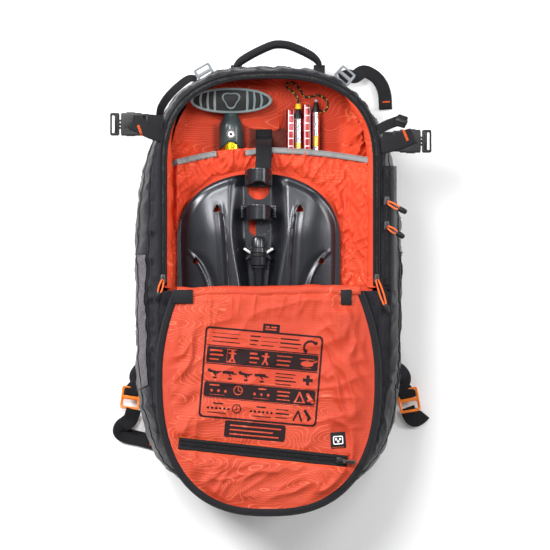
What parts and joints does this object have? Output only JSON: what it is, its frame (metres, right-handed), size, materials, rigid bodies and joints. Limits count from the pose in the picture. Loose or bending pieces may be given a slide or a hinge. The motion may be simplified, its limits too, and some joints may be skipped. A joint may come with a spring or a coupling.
{
  "type": "avalanche airbag backpack",
  "caption": "Avalanche airbag ski pack lying on its back, U-zip front panel folded down over the lower half, shovel and probe in its lined front pocket.",
  "frame": {"origin": "centre of the pack's bounding box in plan, on the surface that the harness lies on", "axes": "+Y to the top of the pack, +Z from the wearer's back out through the front, +X to the right as seen from the front"},
  "size_m": [0.4206, 0.622, 0.2204],
  "materials": {
    "shell_fabric": "charcoal ripstop nylon",
    "pad_mesh": "black spacer mesh over foam",
    "frame_plastic": "moulded polyethylene sheet",
    "stay_metal": "plain aluminium bar",
    "zip_black": "black coil zip on woven tape",
    "lining_fabric": "orange lining nylon with tone-on-tone lines",
    "panel_fabric": "orange lining nylon with dark print",
    "binding_grey": "grey elastic binding, stitched",
    "binding_black": "black grosgrain binding",
    "webbing_black": "black woven webbing with orange bar tacks",
    "airbag_nylon": "folded coated nylon",
    "inflator_plastic": "glass-filled nylon",
    "cylinder_metal": "brushed aluminium pressure cylinder",
    "cable_black": "black cable housing",
    "trigger_red": "red moulded T-handle",
    "buckle_black": "black acetal, satin",
    "lock_grey": "grey acetal, satin",
    "lock_orange": "orange acetal",
    "cord_orange": "orange cord with moulded black grip",
    "slider_metal": "black lacquered zinc",
    "pull_plastic": "grey-brown moulded pull",
    "tag_black": "black woven tag",
    "blade_coat": "dark grey powder coat on aluminium",
    "grip_plastic": "dark grey-green moulded grip with black inserts",
    "shaft_anodised": "yellow anodised aluminium tube",
    "button_steel": "steel spring button",
    "probe_red": "dark red anodised tube with white ruler marks",
    "probe_silver": "silver tube with black and yellow ferrules",
    "cord_speckled": "black tension cord with yellow flecks"
  },
  "bodies": {
    "root": {"back_panel": "pad_mesh", "frame_sheet": "frame_plastic", "frame_stays": "stay_metal", "side_wall_left": "shell_fabric", "side_wall_right": "shell_fabric", "airbag_cover": "shell_fabric", "bottom_wall": "shell_fabric", "front_border": "shell_fabric", "main_zip": "zip_black", "divider": "lining_fabric", "front_lining": "lining_fabric", "inner_pocket": "lining_fabric", "pocket_binding": "binding_grey", "top_flap": "lining_fabric", "retaining_strap": "webbing_black", "airbag": "airbag_nylon", "inflator_head": "inflator_plastic", "trigger_cable": "cable_black", "lumbar_pad": "pad_mesh", "hip_wings": "pad_mesh", "hip_buckle_socket": "buckle_black", "shoulder_straps": "pad_mesh", "strap_webbing": "webbing_black", "load_lifters": "webbing_black", "upper_straps": "webbing_black", "upper_buckle_sockets": "buckle_black", "lower_straps": "webbing_black", "side_zip": "zip_black"},
    "haul_handle": {"haul_handle": "webbing_black"},
    "front_panel": {"front_panel": "panel_fabric", "panel_binding": "binding_black", "panel_zip": "zip_black", "panel_tag": "tag_black", "panel_tabs": "webbing_black"},
    "panel_slider": {"panel_zip_slider": "slider_metal"},
    "panel_pull": {"panel_zip_pull": "pull_plastic"},
    "main_slider_left": {"main_slider_left": "slider_metal"},
    "main_slider_right": {"main_slider_right": "slider_metal"},
    "side_slider_upper": {"side_slider_upper": "cord_orange"},
    "side_slider_lower": {"side_slider_lower": "cord_orange"},
    "lifter_lock_left": {"lifter_lock_left": "lock_grey"},
    "lifter_lock_right": {"lifter_lock_right": "lock_grey"},
    "lower_lock_left": {"lower_lock_left": "lock_orange"},
    "lower_lock_right": {"lower_lock_right": "lock_orange"},
    "upper_plug_left": {"upper_plug_left": "buckle_black"},
    "upper_plug_right": {"upper_plug_right": "buckle_black"},
    "hip_plug": {"hip_buckle_plug": "buckle_black"},
    "sternum_strap": {"sternum_strap": "buckle_black"},
    "sternum_plug": {"sternum_plug": "buckle_black"},
    "gas_cylinder": {"gas_cylinder": "cylinder_metal"},
    "trigger_handle": {"trigger_handle": "trigger_red"},
    "shovel_blade": {"shovel_blade": "blade_coat", "blade_hoops": "blade_coat"},
    "shovel_handle": {"shovel_grip": "grip_plastic", "shovel_shaft": "shaft_anodised"},
    "shaft_button": {"shaft_button": "button_steel"},
    "probe": {"probe_tubes": "probe_red", "probe_tips": "probe_silver", "probe_cord": "cord_speckled", "cord_knot": "cord_speckled"}
  },
  "joints": [
    {"name": "haul_handle_swing", "type": "hinge", "parent": "root", "child": "haul_handle", "pos_m": [0.01, 0.278, 0.056], "axis": [1, 0, 0], "range_deg": [-60, 60]},
    {"name": "front_panel_fold", "type": "hinge", "parent": "root", "child": "front_panel", "pos_m": [0, -0.0175, 0.209], "axis": [1, 0, 0], "range_deg": [-180, 0]},
    {"name": "panel_slider_travel", "type": "slide", "parent": "front_panel", "child": "panel_slider", "axis": [-0.9942, 0.108, 0], "range_m": [0, 0.19]},
    {"name": "panel_pull_flip", "type": "hinge", "parent": "panel_slider", "child": "panel_pull", "pos_m": [0.09581, -0.23976, 0.2186], "axis": [-0.108, -0.9942, 0], "range_deg": [0, 150]},
    {"name": "main_slider_left_travel", "type": "slide", "parent": "root", "child": "main_slider_left", "axis": [0, 1, 0], "range_m": [0, 0.13]},
    {"name": "main_slider_right_travel", "type": "slide", "parent": "root", "child": "main_slider_right", "axis": [0, 1, 0], "range_m": [0, 0.08]},
    {"name": "side_slider_upper_travel", "type": "slide", "parent": "root", "child": "side_slider_upper", "axis": [0, 1, 0], "range_m": [0, 0.03]},
    {"name": "side_slider_lower_travel", "type": "slide", "parent": "root", "child": "side_slider_lower", "axis": [0, 1, 0], "range_m": [-0.05, 0]},
    {"name": "lifter_lock_left_tilt", "type": "hinge", "parent": "root", "child": "lifter_lock_left", "pos_m": [-0.087, 0.27, 0.028], "axis": [0.866, 0.5, 0], "range_deg": [-20, 25]},
    {"name": "lifter_lock_right_tilt", "type": "hinge", "parent": "root", "child": "lifter_lock_right", "pos_m": [0.099, 0.266, 0.032], "axis": [0.766, -0.6428, 0], "range_deg": [-20, 25]},
    {"name": "lower_lock_left_tilt", "type": "hinge", "parent": "root", "child": "lower_lock_left", "pos_m": [-0.185, -0.161, 0.014], "axis": [0.9903, -0.1392, 0], "range_deg": [-20, 20]},
    {"name": "lower_lock_right_tilt", "type": "hinge", "parent": "root", "child": "lower_lock_right", "pos_m": [0.184, -0.164, 0.014], "axis": [0.9848, 0.1736, 0], "range_deg": [-20, 20]},
    {"name": "upper_plug_left_release", "type": "slide", "parent": "root", "child": "upper_plug_left", "axis": [-1, 0, 0], "range_m": [0, 0.025]},
    {"name": "upper_plug_right_release", "type": "slide", "parent": "root", "child": "upper_plug_right", "axis": [1, 0, 0], "range_m": [0, 0.025]},
    {"name": "hip_plug_release", "type": "slide", "parent": "root", "child": "hip_plug", "axis": [-1, 0, 0], "range_m": [0, 0.025]},
    {"name": "sternum_height", "type": "slide", "parent": "root", "child": "sternum_strap", "axis": [0, 1, 0], "range_m": [-0.02, 0.02]},
    {"name": "sternum_plug_release", "type": "slide", "parent": "sternum_strap", "child": "sternum_plug", "axis": [-1, 0, 0], "range_m": [0, 0.014]},
    {"name": "cylinder_unscrew", "type": "hinge", "parent": "root", "child": "gas_cylinder", "pos_m": [0.02, 0.05, 0.085], "axis": [0, -1, 0], "range_deg": [0, 360]},
    {"name": "trigger_pull", "type": "slide", "parent": "root", "child": "trigger_handle", "axis": [0, -1, 0], "range_m": [0, 0.03]},
    {"name": "blade_withdraw", "type": "slide", "parent": "root", "child": "shovel_blade", "axis": [0, -1, 0], "range_m": [0, 0.08]},
    {"name": "handle_slide", "type": "slide", "parent": "root", "child": "shovel_handle", "axis": [0, 1, 0], "range_m": [-0.03, 0.004]},
    {"name": "button_press", "type": "slide", "parent": "shovel_handle", "child": "shaft_button", "axis": [0, 0, -1], "range_m": [0, 0.003], "stiffness_N_per_m": 400, "springref_m": -0.001},
    {"name": "probe_slide", "type": "slide", "parent": "root", "child": "probe", "axis": [0, 1, 0], "range_m": [-0.03, 0.006]}
  ]
}
